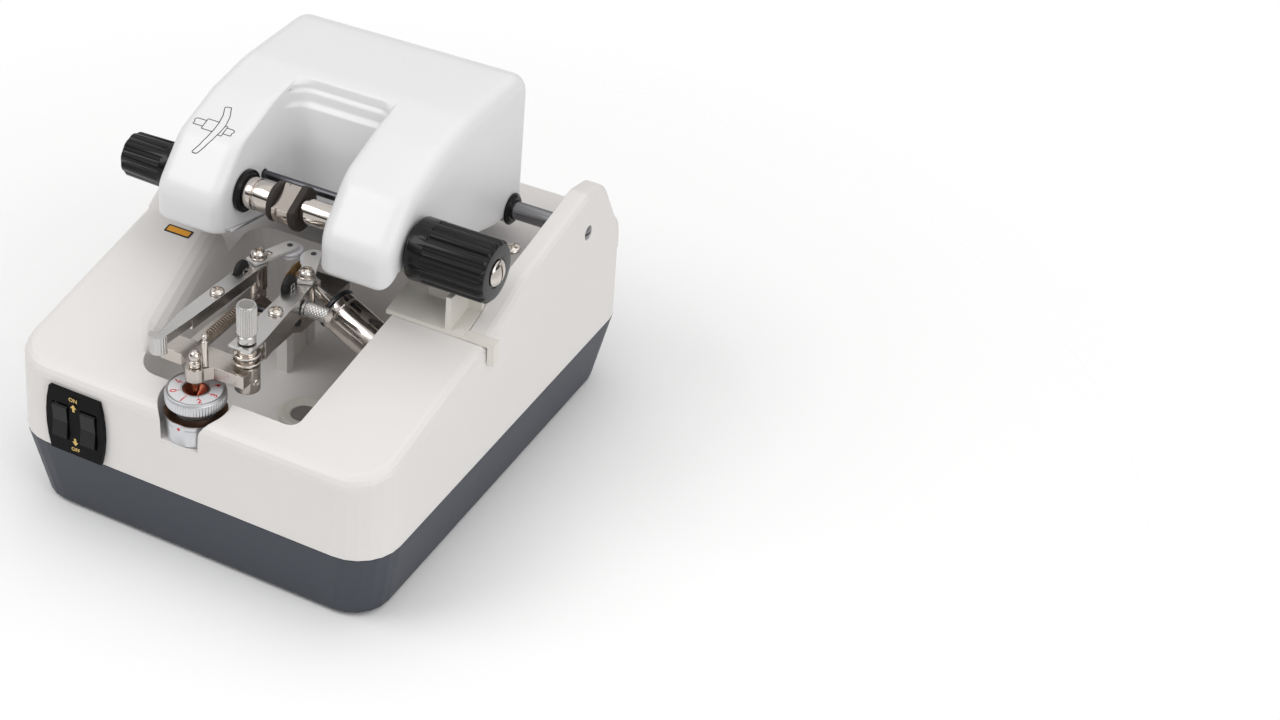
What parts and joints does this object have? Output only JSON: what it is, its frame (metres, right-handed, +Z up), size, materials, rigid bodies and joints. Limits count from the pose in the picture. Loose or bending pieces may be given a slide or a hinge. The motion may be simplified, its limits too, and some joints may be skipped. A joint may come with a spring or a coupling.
{
  "type": "lens groover",
  "caption": "Bench machine that cuts a cord groove in a lens edge: swinging head with chuck, tilted wheel, guide arms and depth dial over a coolant tray.",
  "frame": {"origin": "on the table, under the middle of the whole machine", "axes": "+Z up, +X to the machine's right, +Y to its rear; the switches and the dial are at the front, -Y"},
  "size_m": [0.2228, 0.2848, 0.1946],
  "materials": {
    "ivory_plastic": "fine satin moulding",
    "white_plastic": "smooth moulding",
    "cream_plastic": "fine satin moulding",
    "slate_plastic": "satin moulding",
    "black_plastic": "glossy moulding",
    "black_rubber": "matt",
    "white_nylon": "satin",
    "chrome": "polished",
    "nickel_casting": "nickel-plated casting",
    "bright_steel": "satin",
    "dark_steel": "blackened",
    "aluminium": "satin",
    "bronze": "dark bronze",
    "sintered_bronze": "ground",
    "copper": "copper-red"
  },
  "bodies": {
    "housing": {"base_pan": "slate_plastic", "foot_front_left": "black_rubber", "foot_front_right": "black_rubber", "foot_rear_left": "black_rubber", "foot_rear_right": "black_rubber", "upper_casing": "ivory_plastic", "splash_shield": "cream_plastic", "drain_cup": "ivory_plastic", "power_inlet": "black_plastic", "switch_plate": "black_plastic", "dial_block": "aluminium", "mechanism_bracket": "nickel_casting", "groover_motor": "chrome", "motor_ring": "dark_steel", "motor_cradle": "nickel_casting", "hinge_shaft": "dark_steel", "left_ear_screw": "chrome", "right_ear_screw": "chrome"},
    "left_switch": {"left_rocker": "black_plastic"},
    "right_switch": {"right_rocker": "black_plastic"},
    "dial": {"depth_dial": "aluminium"},
    "funnel": {"dial_funnel": "copper"},
    "lever": {"lever_casting": "nickel_casting", "lever_shaft": "dark_steel", "depth_screw": "chrome", "spring_post": "chrome", "return_spring": "bronze", "right_guide_arm": "bright_steel", "right_tip_plate": "bright_steel", "left_pivot_screw": "chrome", "right_pivot_screw": "chrome", "lock_ring": "chrome", "lock_washer": "chrome"},
    "left_arm": {"left_guide_arm": "bright_steel", "left_tip_plate": "bright_steel"},
    "left_disc_body": {"left_disc": "black_rubber"},
    "right_disc_body": {"right_disc": "black_rubber"},
    "left_roller_body": {"left_roller": "white_nylon"},
    "right_roller_body": {"right_roller": "white_nylon"},
    "arm_lock": {"lock_knob": "bright_steel"},
    "flange_screw": {"thumb_screw": "bright_steel"},
    "wheel": {"grooving_wheel": "sintered_bronze", "wheel_spindle": "chrome"},
    "head_float": {"left_hinge_bush": "black_plastic", "right_hinge_bush": "black_plastic"},
    "head": {"head_cover": "white_plastic", "head_frame": "aluminium", "lens_motor": "bright_steel", "left_chuck_bush": "black_plastic"},
    "chuck": {"chuck_shaft": "chrome", "cushion_ring": "black_rubber", "clamp_head": "nickel_casting", "left_knob": "black_plastic"},
    "sync": {"sync_shaft": "bright_steel"},
    "pinion": {"motor_pinion": "bright_steel"},
    "clamp_drive": {"right_knob": "black_plastic", "knob_screw": "chrome"},
    "clamp_thrust": {"clamp_sleeve": "bright_steel"},
    "clamp": {"clamp_shaft": "chrome", "clamp_pad": "black_rubber"}
  },
  "joints": [
    {"name": "left_switch_rock", "type": "hinge", "parent": "housing", "child": "left_switch", "pos_m": [-0.075, -0.13638, 0.064], "axis": [1, 0, 0], "range_deg": [0, 12]},
    {"name": "right_switch_rock", "type": "hinge", "parent": "housing", "child": "right_switch", "pos_m": [-0.0578, -0.13638, 0.064], "axis": [1, 0, 0], "range_deg": [0, 12]},
    {"name": "dial_turn", "type": "hinge", "parent": "housing", "child": "dial", "pos_m": [-0.0044, -0.12188, 0.096], "axis": [0, 0, 1], "range_deg": [0, 315]},
    {"name": "funnel_lift", "type": "slide", "parent": "housing", "child": "funnel", "axis": [0, 0, 1], "range_m": [0, 0.0006]},
    {"name": "lever_tilt", "type": "hinge", "parent": "housing", "child": "lever", "pos_m": [-0.0014, -0.05588, 0.107], "axis": [-1, 0, 0], "range_deg": [0, 0.521]},
    {"name": "left_arm_swing", "type": "hinge", "parent": "lever", "child": "left_arm", "pos_m": [-0.0184, -0.04288, 0.1254], "axis": [0, 0, 1], "range_deg": [0, 5]},
    {"name": "left_disc_spin", "type": "hinge", "parent": "left_arm", "child": "left_disc_body", "pos_m": [-0.0214, -0.05488, 0.1255], "axis": [1, 0, 0], "continuous": true},
    {"name": "right_disc_spin", "type": "hinge", "parent": "lever", "child": "right_disc_body", "pos_m": [0.0081, -0.05638, 0.1275], "axis": [1, 0, 0], "continuous": true},
    {"name": "left_roller_spin", "type": "hinge", "parent": "left_arm", "child": "left_roller_body", "pos_m": [-0.0112, -0.02438, 0.1243], "axis": [0, 0, 1], "continuous": true},
    {"name": "right_roller_spin", "type": "hinge", "parent": "lever", "child": "right_roller_body", "pos_m": [0.0034, -0.02488, 0.1243], "axis": [0, 0, 1], "continuous": true},
    {"name": "arm_lock_turn", "type": "hinge", "parent": "lever", "child": "arm_lock", "pos_m": [0.0161, -0.10688, 0.13], "axis": [0, 0, 1], "range_deg": [-180, 180]},
    {"name": "flange_screw_turn", "type": "hinge", "parent": "lever", "child": "flange_screw", "pos_m": [0.0186, -0.05688, 0.118], "axis": [1, 0, 0], "range_deg": [-180, 180]},
    {"name": "wheel_spin", "type": "hinge", "parent": "housing", "child": "wheel", "pos_m": [-0.0072, -0.02388, 0.1118], "axis": [0.9346, -0.1841, -0.3042], "continuous": true},
    {"name": "head_shift", "type": "slide", "parent": "housing", "child": "head_float", "axis": [1, 0, 0], "range_m": [-0.004, 0.004]},
    {"name": "head_swing", "type": "hinge", "parent": "head_float", "child": "head", "pos_m": [-0.0014, 0.08262, 0.118], "axis": [-1, 0, 0], "range_deg": [0, 50]},
    {"name": "chuck_turn", "type": "hinge", "parent": "head", "child": "chuck", "pos_m": [-0.0014, -0.02288, 0.1511], "axis": [1, 0, 0], "continuous": true},
    {"name": "sync_turn", "type": "hinge", "parent": "head", "child": "sync", "pos_m": [-0.0014, -0.00388, 0.1511], "axis": [1, 0, 0], "continuous": true},
    {"name": "pinion_turn", "type": "hinge", "parent": "head", "child": "pinion", "pos_m": [-0.0014, 0.00912, 0.1511], "axis": [1, 0, 0], "continuous": true},
    {"name": "clamp_knob_turn", "type": "hinge", "parent": "head", "child": "clamp_drive", "pos_m": [0.0786, -0.02288, 0.1511], "axis": [1, 0, 0], "range_deg": [0, 720]},
    {"name": "clamp_travel", "type": "slide", "parent": "head", "child": "clamp_thrust", "axis": [1, 0, 0], "range_m": [0, 0.008]},
    {"name": "clamp_turn", "type": "hinge", "parent": "clamp_thrust", "child": "clamp", "pos_m": [-0.0014, -0.02288, 0.1511], "axis": [1, 0, 0], "continuous": true}
  ],
  "couplings": [
    {"joint": "funnel_lift", "follows": "dial_turn", "m_per_rad": 0.00010914},
    {"joint": "lever_tilt", "follows": "dial_turn", "ratio": 0.0016536},
    {"joint": "sync_turn", "follows": "chuck_turn", "ratio": -1.7143},
    {"joint": "pinion_turn", "follows": "chuck_turn", "ratio": 2},
    {"joint": "clamp_turn", "follows": "chuck_turn", "ratio": 1},
    {"joint": "clamp_knob_turn", "follows": "clamp_travel", "rad_per_m": 1570.8}
  ]
}
